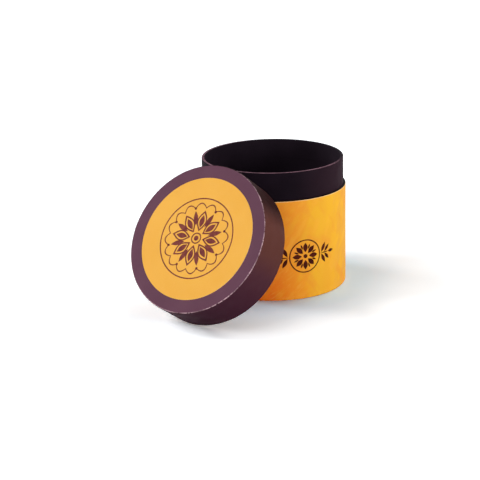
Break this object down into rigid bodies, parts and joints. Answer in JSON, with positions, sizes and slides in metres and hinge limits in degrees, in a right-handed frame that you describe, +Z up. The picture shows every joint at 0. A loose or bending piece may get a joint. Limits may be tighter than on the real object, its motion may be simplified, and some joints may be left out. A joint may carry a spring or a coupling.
{
  "type": "gift tube box",
  "caption": "Round gift tube box of paper-covered board with a dark neck, and its loose lift-off lid, which stands on its rim and leans against the neck.",
  "frame": {"origin": "centre of the tube's foot, on the surface that it stands on", "axes": "+Z is up along the tube's axis, and -Y is the front, where the lid leans with its face to -Y and up"},
  "size_m": [0.098, 0.1589, 0.0874],
  "materials": {
    "board": "matte",
    "orange_print": "matte",
    "plum_paper": "matte",
    "dark_paper": "matte",
    "label_print": "matte"
  },
  "bodies": {
    "base": {"outer_tube": "board", "tube_wrap": "orange_print", "neck_tube": "board", "neck_facing": "dark_paper", "inner_lining": "dark_paper", "floor_board": "board", "floor_lining": "dark_paper", "foot_sheet": "plum_paper"},
    "lid": {"lid_ring": "board", "lid_wrap": "plum_paper", "lid_board": "board", "lid_top_sheet": "plum_paper", "lid_label": "label_print", "lid_top_lining": "dark_paper", "lid_side_lining": "dark_paper"}
  },
  "joints": [
    {"name": "lid_lift", "type": "slide", "parent": "base", "child": "lid", "axis": [0, -0.8241, 0.5664], "range_m": [0, 0.06]}
  ]
}
